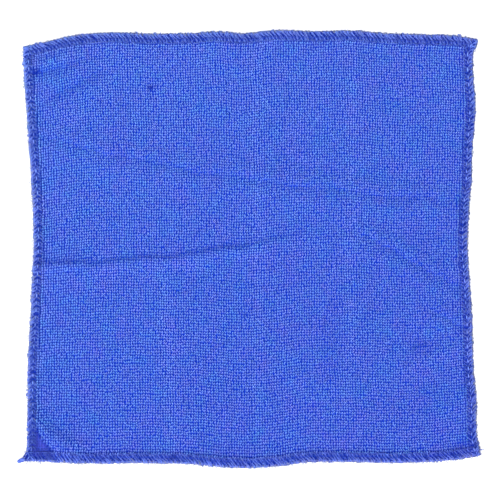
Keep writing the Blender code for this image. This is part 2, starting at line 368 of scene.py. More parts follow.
class ClothColours(bpy.types.PropertyGroup):
    """The cloth's colours."""

    bright: colour("Loop tops", "The knit where the light catches it", (0.230, 0.398, 1.0))
    # painted shade, down between the loops
    deep: colour("Between loops", "The knit down between its loops", (0.0, 0.024, 0.385))
    # painted shade: the pile where the painted shade is deepest, mostly at the lower left corner
    pressed_and_shaded: colour("Pressed and shaded pile", "The knit where it is pressed flat and smooth", (0.033, 0.055, 0.375))
    thread: colour("Thread", "The overlock thread", (0.117, 0.186, 0.66))
    thread_deep: colour("Thread shade", "The overlock thread, down in the seam", (0.003, 0.014, 0.20))
    thread_pale: colour("Thread fuzz", "The overlock thread, roughened along the edge", (0.150, 0.172, 0.225))
    stitch: colour("Stitch", "The line of short stitches along the seam", (0.14, 0.22, 0.70))
    hair: colour("Loose fibre", "The fibres that stick out", (0.16, 0.22, 0.62))
    table: colour("Table", "The surface that the cloth lies on", (0.95, 0.95, 0.95))


class StudioSettings(bpy.types.PropertyGroup):
    """The camera and the lights."""

    view_width: length("View width", "How much of the table the camera sees, side to side", 0.28)
    camera_height: length("Camera height", "How high above the table the camera is", 1.2)
    key: FloatProperty(name="Key light", description="Strength of the large soft light", default=4.6)
    key_spread: FloatProperty(name="Key spread", description="How wide it is", default=1.3, subtype="ANGLE")
    fill: FloatProperty(name="Fill light", description="Strength of the even light all round", default=1.0)


# ---- Shape of the cloth: every place is in millimetres ----


def smooth_value(table, share):
    """A smooth curve through a table's rows, read at each share along it."""
    places, values = columns(table)
    slopes = np.gradient(values, places)
    row = np.clip(np.searchsorted(places, share, side="right") - 1, 0, len(table) - 2)
    gap = places[row + 1] - places[row]
    t = (share - places[row]) / gap
    return (
        (1 + 2 * t) * (1 - t) ** 2 * values[row]
        + t * (1 - t) ** 2 * gap * slopes[row]
        + t**2 * (3 - 2 * t) * values[row + 1]
        + t**2 * (t - 1) * gap * slopes[row + 1]
    )


def smoothstep(low, high, value):
    t = np.clip((value - low) / (high - low), 0.0, 1.0)
    return t * t * (3 - 2 * t)


def side_points(start, end, bulges, share, outward, draw=1.0):
    """Points along one side: the line between its corners plus its bulge. outward is +1 or -1."""
    start = np.array(start)
    run = np.array(end) - start
    normal = outward * np.array([-run[1], run[0]]) / np.hypot(*run)
    out = draw * smooth_value(bulges, np.clip(share, 0.0, 1.0))
    return start + share[..., None] * run + out[..., None] * normal


def outline_map(across, up, draw=1.0):
    """The place of each point of the cloth, given as shares of its width and height."""
    lower = side_points(LOWER_LEFT, LOWER_RIGHT, LOWER_SIDE, across, -1)
    upper = side_points(UPPER_LEFT, UPPER_RIGHT, UPPER_SIDE, across, +1)
    left = side_points(LOWER_LEFT, UPPER_LEFT, LEFT_SIDE, up, +1, draw)
    right = side_points(LOWER_RIGHT, UPPER_RIGHT, RIGHT_SIDE, up, -1, draw)
    a = across[..., None]
    b = up[..., None]
    corners = (
        (1 - a) * (1 - b) * np.array(LOWER_LEFT)
        + a * (1 - b) * np.array(LOWER_RIGHT)
        + (1 - a) * b * np.array(UPPER_LEFT)
        + a * b * np.array(UPPER_RIGHT)
    )
    return THREAD_ROOM * ((1 - b) * lower + b * upper + (1 - a) * left + a * right - corners)


class Edge:
    """The cloth's edge as close points, with the direction along it and the direction into the cloth."""

    POINTS = 700

    def __init__(self):
        self.sides = {}
        for side in SIDES:
            t = np.linspace(0.0, 1.0, self.POINTS)
            across = side.from_across + t * (side.to_across - side.from_across)
            up = side.from_up + t * (side.to_up - side.from_up)
            points = outline_map(across, up)
            tangents = np.gradient(points, axis=0)
            tangents /= np.linalg.norm(tangents, axis=1)[:, None]
            inward = np.column_stack([-tangents[:, 1], tangents[:, 0]])
            steps = np.linalg.norm(np.diff(points, axis=0), axis=1)
            run = np.concatenate([[0.0], np.cumsum(steps)])
            self.sides[side.name] = (run, points, tangents, inward)
        self.points = np.concatenate([s[1] for s in self.sides.values()])
        self.inward = np.concatenate([s[3] for s in self.sides.values()])
        # A corner ends one side and starts the next. A place near it is inside only if it is inside both.
        self.also_inward = self.inward.copy()
        first = np.arange(len(SIDES)) * self.POINTS
        self.also_inward[first] = self.inward[first - 1]
        self.also_inward[first - 1] = self.inward[first]
        self.tree = KDTree(len(self.points))
        for index, (x, y) in enumerate(self.points):
            self.tree.insert((x, y, 0.0), index)
        self.tree.balance()

    def length(self, name):
        return self.sides[name][0][-1]

    def at(self, name, along):
        """The edge's point, its direction and the way into the cloth, at distances along a side."""
        run, points, tangents, inward = self.sides[name]
        return tuple(
            np.stack([np.interp(along, run, values[:, axis]) for axis in (0, 1)], axis=-1)
            for values in (points, tangents, inward)
        )

    def depth(self, places):
        """How far in from the edge each place is, less than 0 outside."""
        flat = places.reshape(-1, 2)
        nearest = np.array([self.tree.find((x, y, 0.0))[1] for x, y in flat])
        away = flat - self.points[nearest]
        inside = (away * self.inward[nearest]).sum(1)
        also_inside = (away * self.also_inward[nearest]).sum(1)
        sign = np.sign(np.minimum(inside, also_inside))
        return (sign * np.linalg.norm(away, axis=1)).reshape(places.shape[:-1])


def swing(waves, places):
    """The sum of the waves at each place."""
    turns = [places[..., 0] / wave.length_x + places[..., 1] / wave.length_y for wave in waves]
    return sum(wave.rise * np.sin(2 * np.pi * turn + wave.phase) for wave, turn in zip(waves, turns))


def along_fold(fold, places):
    """How far each place is from the fold's curve, in shares of its reach, and how much of it is left."""
    t = np.linspace(0.0, 1.0, FOLD_STEPS)[:, None]
    start, pull, end = np.array(fold[:6]).reshape(3, 2)
    curve = (1 - t) ** 2 * start + 2 * t * (1 - t) * pull + t**2 * end
    steps = np.diff(curve, axis=0)
    lengths = np.hypot(steps[:, 0], steps[:, 1])
    run = np.concatenate([[0.0], np.cumsum(lengths)])
    wander = swing(FOLD_WANDER, places)
    offset = (places + wander[..., None])[..., None, :] - curve[:-1]
    on_step = np.clip((offset * steps).sum(-1) / lengths**2, 0.0, 1.0)
    gap = offset - on_step[..., None] * steps
    distance = np.hypot(gap[..., 0], gap[..., 1])
    nearest = distance.argmin(-1)[..., None]

    def there(values):
        return np.take_along_axis(values, nearest, -1)[..., 0]

    on_left = there(steps[:, 0] * gap[..., 1] - steps[:, 1] * gap[..., 0]) > 0
    travelled = there(run[:-1] + on_step * lengths)
    left = smoothstep(0.0, min(LONGEST_FADE, run[-1] / 3), np.minimum(travelled, run[-1] - travelled))
    return there(distance) / np.where(on_left, fold.left_reach, fold.right_reach), left


def pressed_and_shaded(places):
    """Painted shade: how much darker the pile is painted at each place, along the folds, at the marks and
    slowly across the cloth, and below 0 a painted highlight. Its loops are lowered by it too.
    """
    dark = swing(SHADE, places)
    for fold in (*TROUGHS, *RIDGES, *PRESSED_AND_SHADED):
        steps, strength = along_fold(fold, places)
        dark += fold.press * strength * np.exp(-((2.0 * steps) ** 2))
    return dark


def flattened_and_shaded(dark):
    """How far the tone falls into painted shade, where the pile is painted flat and smooth."""
    return FLAT_TONE * np.maximum(dark - FLAT_FROM, 0.0)


def thread_tone(tone, places):
    """The thread's tone, which is painted more even, towards one tone, where painted shade falls."""
    flat = np.clip(FLAT_THREAD_RISE * pressed_and_shaded(places), 0.0, 1.0)
    return np.clip(tone + (FLAT_THREAD_TONE - tone) * flat, 0.0, HIGHEST_TONE)


def relief(places):
    """How far the cloth's lower face stands off the table at each place."""
    height = np.zeros(places.shape[:-1])
    for fold in TROUGHS:
        steps, strength = along_fold(fold, places)
        height += fold.rise * strength * steps * np.exp((1 - steps**2) / 2)
    for fold in RIDGES:
        steps, strength = along_fold(fold, places)
        height += fold.rise * strength * np.exp(-((1.6 * steps) ** 2))
    return height + sum(wave.rise for wave in WAVES) + swing(WAVES, places)


class Cloth:
    """The cloth's sizes in millimetres, and its surface, from which every piece takes its place."""

    LENGTHS = "cut ground loop_height yarn wale course rim rim_width thread chain hair".split()

    def __init__(self, sizes):
        for name in self.LENGTHS:
            setattr(self, name, getattr(sizes, name) / MM)
        self.hairs = sizes.hairs
        self.edge = Edge()
        self.middle = (self.edge.points.max(0) + self.edge.points.min(0)) / 2

    def rim_share(self, depth):
        """1 in the rim, and 0 on the plain cloth inside it."""
        return 1 - smoothstep(self.rim_width + RIM_STEP[0], self.rim_width + RIM_STEP[1], depth)

    def faces(self, places, depth):
        """Heights of the ground's lower and upper faces. They meet at the edge."""
        share = self.rim_share(depth)
        low = relief(places) + share * self.thread * THREAD_FLATTENING
        thick = self.ground + share * (self.rim - self.ground)
        rounding = np.sqrt(1 - (1 - np.clip(depth / (self.rim / 2), 0.0, 1.0)) ** 2)
        middle = low + thick / 2
        return middle - rounding * thick / 2, middle + rounding * thick / 2

    def top(self, places):
        """Height of the ground's upper face."""
        return self.faces(places, np.maximum(self.edge.depth(places), 0.0))[1]


# ---- Meshes from arrays ----


def add_object(name, data):
    item = bpy.data.objects.new(name, data)
    bpy.context.scene.collection.objects.link(item)
    return item


def mesh_object(name, points, polygons, tone):
    """An object from points in millimetres and groups of polygons, each an array with a row for each one."""
    mesh = bpy.data.meshes.new(name)
    mesh.vertices.add(len(points))
    mesh.vertices.foreach_set("co", (points * MM).astype(np.float32).ravel())
    corners = np.concatenate([group.ravel() for group in polygons])
    sizes = np.concatenate([np.full(len(group), group.shape[1]) for group in polygons])
    mesh.loops.add(len(corners))
    mesh.loops.foreach_set("vertex_index", corners.astype(np.int32))
    mesh.polygons.add(len(sizes))
    mesh.polygons.foreach_set("loop_start", (np.cumsum(sizes) - sizes).astype(np.int32))
    mesh.update(calc_edges=True)
    mesh.shade_smooth()
    attribute = mesh.attributes.new("tone", "FLOAT", "POINT")
    attribute.data.foreach_set("value", tone.astype(np.float32).ravel())
    return add_object(name, mesh)


def mesh_points(mesh):
    points = np.empty(len(mesh.vertices) * 3, np.float32)
    mesh.vertices.foreach_get("co", points)
    return points.reshape(-1, 3)


def add_flat_map(piece):
    """A map that lays the piece out as it is seen from above, for when its pattern is baked."""
    mesh = piece.data
    flat = mesh_points(mesh)[:, :2]
    flat = (flat - flat.min(0)) / np.ptp(flat, axis=0)
    corner = np.empty(len(mesh.loops), np.int32)
    mesh.loops.foreach_get("vertex_index", corner)
    layer = mesh.uv_layers.new(name=BAKE_MAP)
    layer.data.foreach_set("uv", flat[corner].astype(np.float32).ravel())


def tube_object(name, paths, radii, sides, tone, reference=UP, closed=True):
    """One object from many tubes along paths (tubes, points, 3), with a radius and a tone at each point."""
    tangent = np.gradient(paths, axis=1)
    tangent /= np.linalg.norm(tangent, axis=2)[..., None]
    beside = np.cross(tangent, reference)
    beside /= np.linalg.norm(beside, axis=2)[..., None]
    above = np.cross(beside, tangent)
    turn = np.pi / 2 + 2 * np.pi * np.arange(sides) / sides
    ring = np.cos(turn)[:, None] * beside[..., None, :] + np.sin(turn)[:, None] * above[..., None, :]
    points = paths[..., None, :] + radii[..., None, None] * ring
    index = np.arange(radii.size * sides).reshape(*radii.shape, sides)
    here = index[:, :-1]
    ahead = index[:, 1:]
    walls = np.stack([here, ahead, np.roll(ahead, -1, 2), np.roll(here, -1, 2)], axis=-1)
    ends = [index[:, 0], index[:, -1, ::-1]] if closed else []
    spread = np.repeat(tone[..., None], sides, axis=2)
    return mesh_object(name, points.reshape(-1, 3), [walls.reshape(-1, 4), *ends], spread)


def settle(piece, material, cloth):
    """Moves the piece so that the cloth's middle is at the origin, and gives it its material and its body."""
    mesh = piece.data
    shift = np.array([-cloth.middle[0] * MM, -cloth.middle[1] * MM, 0.0], np.float32)
    mesh.vertices.foreach_set("co", (mesh_points(mesh) + shift).ravel())
    mesh.update()
    mesh.materials.append(material)
    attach(piece, BODY)


# ---- Materials ----


class Nodes:
    """Short ways to add and join the nodes of one tree."""

    def __init__(self, tree):
        self.tree = tree

    def add(self, kind, inputs=None, **settings):
        """A node of this kind, with its inputs joined to other nodes or set to plain values."""
        node = self.tree.nodes.new("ShaderNode" + kind)
        for key, value in settings.items():
            setattr(node, key, value)
        for key, value in (inputs or {}).items():
            self.feed(value, node.inputs[key])
        return node

    def feed(self, value, target):
        """Joins a socket, or sets a plain value."""
        if isinstance(value, bpy.types.NodeSocket):
            self.tree.links.new(value, target)
        elif target.type == "RGBA":
            target.default_value = (*value[:3], 1.0)
        else:
            target.default_value = value

    def math(self, operation, first, second):
        return self.add("Math", {0: first, 1: second}, operation=operation).outputs[0]

    def mix(self, factor, first, second):
        inputs = {"Factor": factor, "A": first, "B": second}
        return self.add("Mix", inputs, data_type="RGBA").outputs["Result"]

    def vector(self, operation, first, second):
        return self.add("VectorMath", {0: first, 1: second}, operation=operation).outputs

    def place(self):
        return self.add("TexCoord").outputs["Object"]

    def shared(self, name, build, inputs=None):
        """A node with a shared group, which is built when it is first asked for."""
        return self.add("Group", inputs, node_tree=bpy.data.node_groups.get(name) or build(name)).outputs


def new_group(name, inputs, outputs):
    """An empty node group. inputs are names with defaults, and outputs names with kinds."""
    tree = bpy.data.node_groups.new(name, "ShaderNodeTree")
    for label, default in inputs.items():
        kind = "Color" if isinstance(default, tuple) else "Float"
        socket = tree.interface.new_socket(label, in_out="INPUT", socket_type="NodeSocket" + kind)
        socket.default_value = default
    for label, kind in outputs.items():
        tree.interface.new_socket(label, in_out="OUTPUT", socket_type="NodeSocket" + kind)
    return Nodes(tree), tree.nodes.new("NodeGroupInput").outputs, tree.nodes.new("NodeGroupOutput").inputs


def dye_and_falloff_group(name):
    """Uneven dye: patches that lean to violet or to sky blue, and a little lighter or darker, and a painted
    falloff of light that darkens it to the right.
    """
    nodes, given, out = new_group(name, {"Color": (0.1, 0.2, 0.8, 1.0), **KNIT_DYE}, {"Color": "Color"})
    place = nodes.place()
    moved = nodes.vector("ADD", place, DYE_OFFSET)[0]
    scale = nodes.math("DIVIDE", 1.0, given["Patch Size"])
    swings = []
    for source, strength, roughness in ((place, "Hue Change", 1.0), (moved, "Value Change", 0.5)):
        pattern = {"Vector": source, "Scale": scale, "Detail": 3.0, "Roughness": roughness}
        noise = nodes.add("TexNoise", pattern).outputs["Fac"]
        swings.append(nodes.math("MULTIPLY", nodes.math("SUBTRACT", noise, 0.5), given[strength]))
    hue, value = swings
    drift = nodes.vector("DOT_PRODUCT", place, DYE_DRIFT)["Value"]
    # a painted falloff of light, darker to the right
    painted_falloff = nodes.vector("DOT_PRODUCT", place, PAINTED_FALLOFF)["Value"]
    red = nodes.math("ADD", hue, 1.0)
    green = nodes.math("SUBTRACT", nodes.math("ADD", drift, 1.0), nodes.math("MULTIPLY", hue, DYE_GREEN))
    tint = nodes.add("CombineXYZ", {"X": red, "Y": green, "Z": 1.0}).outputs[0]
    tinted = nodes.vector("MULTIPLY", given["Color"], tint)[0]
    strength = nodes.math("ADD", nodes.math("ADD", value, painted_falloff), 1.0)
    lit = nodes.add("VectorMath", {0: tinted, "Scale": strength}, operation="SCALE")
    nodes.feed(lit.outputs[0], out["Color"])
    return nodes.tree


def grain_group(name):
    """Split microfibre: a fine, tangled grain, as a height and as a mask for roughness."""
    inputs = {"Grain Size": 0.0002, "Stretch": 3.0}
    nodes, given, out = new_group(name, inputs, {"Height": "Float", "Rough": "Float"})
    squeeze = nodes.add("CombineXYZ", {"X": given["Stretch"], "Y": 1.0, "Z": 1.0}).outputs[0]
    stretched = nodes.vector("MULTIPLY", nodes.place(), squeeze)[0]
    scale = nodes.math("DIVIDE", 1.0, given["Grain Size"])
    noise = nodes.add("TexNoise", {"Vector": stretched, "Scale": scale, "Detail": 2.0}).outputs["Fac"]
    nodes.feed(noise, out["Height"])
    least, more = GRAIN_ROUGHNESS
    nodes.feed(nodes.math("ADD", nodes.math("MULTIPLY", noise, more), least), out["Rough"])
    return nodes.tree


def knit_group(name):
    """The knit's columns and rows as a pattern, for where no loops stand: 1 on a loop, 0 between."""
    nodes, given, out = new_group(name, {"Wale": 0.00141, "Course": 0.00154}, {"Height": "Float"})
    split = nodes.add("SeparateXYZ", {0: nodes.place()}).outputs
    waves = []
    for axis, pitch in (("X", "Wale"), ("Y", "Course")):
        turns = nodes.math("DIVIDE", split[axis], given[pitch])
        wave = nodes.math("COSINE", nodes.math("MULTIPLY", turns, 2 * np.pi), 0.0)
        waves.append(nodes.math("ADD", nodes.math("MULTIPLY", wave, 0.5), 0.5))
    columns, rows = waves
    softened = nodes.math("ADD", nodes.math("MULTIPLY", rows, 0.6), 0.4)
    nodes.feed(nodes.math("MULTIPLY", columns, softened), out["Height"])
    return nodes.tree


def paint_loops(nodes, tone, colours):
    """From painted shade deep between the loops to a painted highlight on their tops. Less than 0 turns to
    the painted shade of the pressed pile.
    """
    shade = nodes.mix(nodes.math("MULTIPLY", tone, -1.0), colours.deep, colours.pressed_and_shaded)
    return nodes.mix(tone, shade, colours.bright)


def paint_ground(nodes, tone, colours):
    """Painted shade, darkest under the seam and deep between the loops, and on the underside the knit as a
    pattern.
    """
    covered = nodes.mix(nodes.math("DIVIDE", tone, GROUND_TONE), colours.thread_deep, colours.deep)
    shade = nodes.mix(nodes.math("MULTIPLY", tone, -1.0), covered, colours.pressed_and_shaded)
    pattern = nodes.shared("knit columns and rows", knit_group)["Height"]
    underside = nodes.math("GREATER_THAN", tone, GROUND_TONE + 0.1)
    return nodes.mix(nodes.math("MULTIPLY", pattern, underside), shade, colours.bright)


def paint_thread(nodes, tone, colours):
    """From the seam's shade to the bright thread, and on to its pale fuzz."""
    thread = nodes.mix(tone, colours.thread_deep, colours.thread)
    fuzz = nodes.math("MULTIPLY", nodes.math("SUBTRACT", tone, FUZZ_FROM), FUZZ_RISE)
    return nodes.mix(fuzz, thread, colours.thread_pale)


def paint_line(nodes, tone, colours):
    return nodes.mix(tone, colours.thread_deep, colours.stitch)


def paint_hair(nodes, tone, colours):
    return nodes.mix(tone, colours.thread_deep, colours.hair)


Finish = namedtuple("Finish", "name paint dye bump sheen")
LOOPS = Finish("knit loops", paint_loops, KNIT_DYE, 0.3, 0.05)
GROUND = Finish("knit ground", paint_ground, KNIT_DYE, 0.3, 0.05)
THREAD = Finish("overlock thread", paint_thread, THREAD_DYE, 0.5, 0.08)
LINE = Finish("stitch line", paint_line, THREAD_DYE, 0.5, 0.08)
LOOSE = Finish("loose fibre", paint_hair, HAIR_DYE, 0.2, 0.2)


def shaded_material(name):
    material = bpy.data.materials.new(name)
    material.use_nodes = True
    return material, Nodes(material.node_tree), material.node_tree.nodes["Principled BSDF"].inputs


def textile_material(finish, colours):
    """A matt textile, painted by its tone and then dyed unevenly, with a painted falloff of light."""
    material, nodes, shader = shaded_material(finish.name)
    tone = nodes.add("Attribute", attribute_name="tone").outputs["Fac"]
    dye = {"Color": finish.paint(nodes, tone, colours), **finish.dye}
    grain = nodes.shared("microfibre grain", grain_group)
    bump = {"Strength": finish.bump, "Distance": GRAIN_RELIEF, "Height": grain["Height"]}
    look = {
        "Base Color": nodes.shared("uneven dye", dye_and_falloff_group, dye)["Color"],
        "Roughness": grain["Rough"],
        "Normal": nodes.add("Bump", bump).outputs["Normal"],
        "Metallic": 0.0,
        "Specular IOR Level": 0.08,
        "Sheen Weight": finish.sheen,
        "Sheen Roughness": 0.45,
        "Sheen Tint": (0.55, 0.65, 1.0),
    }
    for label, value in look.items():
        nodes.feed(value, shader[label])
    return material


# ---- Pieces ----


def uneven(random, error, shape):
    """Factors that are off 1 by the usual error."""
    return 1 + random.normal(0.0, error, shape)


def crowned(ends_and_rise, crown):
    ends, rise = ends_and_rise
    return ends + rise * crown


def grid_shares(cloth):
    """Grid lines from one side to the other, close together in the rim and even between."""
    rim = np.array(RIM_LINES) / cloth.cut
    inner = np.linspace(rim[-1], 1 - rim[-1], SHEET_CELLS + 1)
    return np.concatenate([rim[:-1], inner, 1 - rim[-2::-1]])


def make_sheet(cloth):
    """The cloth's ground, a thin closed sheet: an upper and a lower grid that share the edge's points."""
    shares = grid_shares(cloth)
    count = len(shares)
    across, up = np.meshgrid(shares, shares)
    places = outline_map(across, up)
    line = np.arange(count)
    from_edge = np.minimum(line, count - 1 - line)
    on_edge = np.minimum(from_edge[:, None], from_edge[None, :]) == 0
    depth = np.where(on_edge, 0.0, cloth.edge.depth(places))
    low, high = cloth.faces(places, depth)
    upper = np.arange(count * count).reshape(count, count)
    lower = np.where(on_edge, upper, 0)
    lower[~on_edge] = count * count + np.arange((~on_edge).sum())
    points = np.concatenate([np.dstack([places, high]).reshape(-1, 3), np.dstack([places, low])[~on_edge]])
    quads = []
    for grid, turn in ((upper, 1), (lower, -1)):
        corners = [grid[:-1, :-1], grid[:-1, 1:], grid[1:, 1:], grid[1:, :-1]][::turn]
        quads.append(np.stack(corners, axis=-1).reshape(-1, 4))
    tone = np.ones(len(points))
    # The upper face's tone is painted shade: darkest under the rim's threads, deep between the loops and
    # darker where painted shade falls.
    shown = (1 - cloth.rim_share(depth)) * (GROUND_TONE - flattened_and_shaded(pressed_and_shaded(places)))
    tone[: count * count] = shown.ravel()
    return mesh_object("cloth_ground", points, quads, tone)


def knit_lattice(cloth):
    """Where each stitch of the knit is, and the steps from it to the next stitch across and along."""
    wales = round((1 + 2 * KNIT_MARGIN) * KNIT_WIDTH / cloth.wale)
    courses = round(KNIT_HEIGHT / cloth.course)
    across = (np.arange(wales) + 0.5) / wales * (1 + 2 * KNIT_MARGIN) - KNIT_MARGIN
    up = (np.arange(courses) + 0.5) / courses
    up = up + COURSE_SPREAD * up * (1 - up)
    across, up = np.meshgrid(across, up)
    places = outline_map(across, up, WALE_DRAW)
    places = places + np.dstack([swing(COLUMN_WANDER, places), swing(ROW_WANDER, places)])
    return places, np.gradient(places, axis=1), np.gradient(places, axis=0)


def make_knit(cloth):
    """The knit's loops, as four joined meshes, one for each quarter of the cloth."""
    random = np.random.default_rng(KNIT_SEED)
    error = KNIT_ERROR
    lattice = knit_lattice(cloth)
    depth = cloth.edge.depth(lattice[0])
    row, column = np.indices(depth.shape)
    quarter = 2 * (row > row.max() / 2) + (column > column.max() / 2)
    quarter[depth < KNIT_START] = -1
    loop = columns(LOOP)
    pieces = []
    for number, name in enumerate(("lower_left", "lower_right", "upper_left", "upper_right")):
        chosen = quarter == number
        each = (int(chosen.sum()), 1)
        free = UNDER_SEAM + (1 - UNDER_SEAM) * smoothstep(*SEAM_END, depth[chosen])[:, None]
        low_share = smoothstep(LOWER_THIRD[1], LOWER_THIRD[0], row[chosen] / row.max())[:, None]
        skew = random.normal(0.0, error.skew, each)
        width = LOWER_WIDTH * low_share + uneven(random, error.width, each)
        across = loop.across * width + random.normal(0.0, error.across, each)
        along = loop.along + random.normal(0.0, error.along, each)
        across = across + skew * along
        place, beside, ahead = (grid[chosen][:, None] for grid in lattice)
        flat = place + across[..., None] * beside + along[..., None] * ahead
        # painted shade along the folds, at the marks and across the cloth, which also lowers the loops
        dark = pressed_and_shaded(place)
        height = cloth.loop_height * uneven(random, error.height, each) * free * (1 - dark)
        radii = cloth.yarn / 2 * loop.girth * uneven(random, error.girth, each)
        paths = np.dstack([flat, cloth.top(flat) + loop.lift * height])
        legs = np.sign(loop.across) * random.normal(0.0, error.legs, each)
        # tone: painted shade at the feet and a painted highlight on the head, less under the seam and where
        # painted shade falls, with random differences from stitch to stitch
        tone = (loop.tone * uneven(random, error.tone, each) + legs) * free * (1 - dark)
        tone = np.clip(tone - flattened_and_shaded(dark), *LOOP_TONES)
        piece = tube_object("knit_" + name, paths, radii, 3, tone, closed=False)
        add_flat_map(piece)
        pieces.append(piece)
    return pieces


def strand_paths(cloth, seam, starts, lean, width, slack):
    """The paths of one yarn of each strand, over the rim's upper face, round its edge and under it."""
    strand = columns(STRAND)
    half = cloth.thread / 2 * THREAD_FLATTENING
    length = cloth.edge.length(seam.side)
    slant = strand.inner * seam.inner_slant + strand.outer * seam.outer_slant
    along = starts + slant * lean + strand.girth * width
    on_side = (along[:, EDGE_POINT] > END_GAP) & (along[:, EDGE_POINT] < length - END_GAP)
    along = np.clip(along, END_GAP, length - END_GAP)
    point, tangent, inward = cloth.edge.at(seam.side, along)
    depth = np.broadcast_to(strand.depth, along.shape)
    flat = point + depth[..., None] * inward
    on_cloth = cloth.edge.depth(flat).min(1) > -EDGE_SLIP
    low, high = cloth.faces(flat, depth)
    lie = (low + high) / 2 + strand.face * ((high - low) / 2 + half * STRAND_STAND)
    outside = (1 - np.abs(strand.face)) * (half + slack)
    flat = flat - outside[..., None] * inward
    reference = np.concatenate([tangent, np.zeros(along.shape + (1,))], axis=-1)
    return np.dstack([flat, np.maximum(lie, half)]), reference, on_side & on_cloth


def make_strands(cloth, seam, random):
    """The slanted strands of one side, each a bundle of soft yarns."""
    error = STRAND_ERROR
    strand = columns(STRAND)
    starts = np.arange(-SLANT_ROOM, cloth.edge.length(seam.side) + SLANT_ROOM, seam.stitch)[:, None]
    each = starts.shape
    starts = starts + random.normal(0.0, error.start, each)
    lean = uneven(random, error.lean, each)
    strength = random.normal(0.0, error.tone, each)
    slack = np.abs(random.normal(0.0, error.slack, each))
    parts = []
    for filament in FILAMENTS:
        width = cloth.thread * STRAND_WIDTH * (filament.place + random.normal(0.0, error.place, each))
        path, reference, kept = strand_paths(cloth, seam, starts, lean * filament.lean, width, slack)
        path = path + random.normal(0.0, error.path, path.shape)
        girth = strand.girth * uneven(random, error.girth, path.shape[:2])
        radii = filament.girth * cloth.thread / 2 * girth
        path[..., 2] = np.maximum(path[..., 2], radii)
        shade = filament.tone * (1 + strength + random.normal(0.0, error.yarn, each))
        tone = strand.tone * shade + random.normal(0.0, error.point, path.shape[:2])
        tone = thread_tone(tone + seam.evenness * (EVEN_TONE - tone), path[..., :2])
        parts.append((path[kept], radii[kept], reference[kept], tone[kept]))
    paths, radii, references, tones = (np.concatenate(column) for column in zip(*parts))
    return tube_object("seam_strands_" + seam.side, paths, radii, 3, tones, references)


def make_line(cloth, seam, random):
    """The line of short stitches that holds the strands down, each a lens that sinks in at its ends."""
    starts = np.arange(seam.line_depth, cloth.edge.length(seam.side) - seam.line_depth, seam.line_stitch)
    starts = starts[:, None]
    t = np.linspace(0.0, 1.0, 6)
    crown = np.sin(np.pi * t)
    point, _, inward = cloth.edge.at(seam.side, starts + seam.line_start + t * seam.line_reach)
    depth = seam.line_depth + random.normal(0.0, LINE_ERROR.depth, starts.shape) + 0 * t
    flat = point + depth[..., None] * inward
    lift = crowned(LINE_LIFT, crown) * cloth.thread / 2
    paths = np.dstack([flat, cloth.faces(flat, depth)[1] + lift])
    radii = cloth.thread / 2 * crowned(LINE_GIRTH, crown) * uneven(random, LINE_ERROR.girth, starts.shape)
    tone = seam.line_tone * crowned(LINE_TONE, crown) * uneven(random, LINE_ERROR.tone, starts.shape)
    return tube_object("seam_line_" + seam.side, paths, radii, 4, thread_tone(tone, flat))


def make_cord(cloth, seam, random):
    """The two looper threads that twist round each other along the very edge and cover it."""
    along = np.arange(CORD.gap, cloth.edge.length(seam.side) - CORD.gap, CORD.twist / CORD.points)
    point, _, inward = cloth.edge.at(seam.side, along)
    low, high = cloth.faces(point + CORD.depth * inward, np.full(len(along), CORD.depth))
    paths = []
    for phase in (0.0, np.pi):
        wander = np.cumsum(random.normal(0.0, CORD_ERROR.turn, len(along)))
        angle = 2 * np.pi * along / CORD.twist + phase + wander
        flat = point + (CORD.depth + CORD.swing * np.cos(angle))[:, None] * inward
        paths.append(np.column_stack([flat, (low + high) / 2 + CORD.rise + CORD.swing * np.sin(angle)]))
    paths = np.array(paths)
    every = paths.shape[:2]
    radii = cloth.thread / 2 * (CORD.girth + random.normal(0.0, CORD_ERROR.girth, every))
    tone = np.clip(seam.edge_tone + random.normal(0.0, CORD_ERROR.tone, every), 0.0, HIGHEST_TONE)
    return tube_object("seam_cord_" + seam.side, paths, radii, 4, tone)


def make_edge_loops(cloth, seam, random):
    """The small loops of thread that stand just past the edge, one for each strand."""
    length = cloth.edge.length(seam.side)
    starts = np.arange(EDGE_LOOP.gap, length - EDGE_LOOP.gap, seam.stitch)[:, None]
    each = starts.shape
    starts = starts + random.normal(0.0, EDGE_LOOP_ERROR.start, each)
    t = np.linspace(0.0, 1.0, 6)
    width = EDGE_LOOP.width * uneven(random, EDGE_LOOP_ERROR.width, each)
    reach = seam.loop_reach * np.abs(EDGE_LOOP.reach + random.normal(0.0, EDGE_LOOP_ERROR.reach, each))
    along = np.clip(starts + (t - 0.5) * width, 0.0, length)
    point, _, inward = cloth.edge.at(seam.side, along)
    out = EDGE_LOOP.foot - (reach + EDGE_LOOP.foot) * np.sin(np.pi * t)
    flat = point + out[..., None] * inward
    low, high = cloth.faces(flat, np.zeros(flat.shape[:2]))
    level = (low + high) / 2 + random.normal(0.0, EDGE_LOOP_ERROR.level, each)
    paths = np.dstack([flat, level + EDGE_LOOP.tilt * np.cos(2 * np.pi * t)])
    radii = np.full(paths.shape[:2], cloth.chain / 2)
    return tube_object("seam_loops_" + seam.side, paths, radii, 3, np.full(paths.shape[:2], EDGE_LOOP.tone))


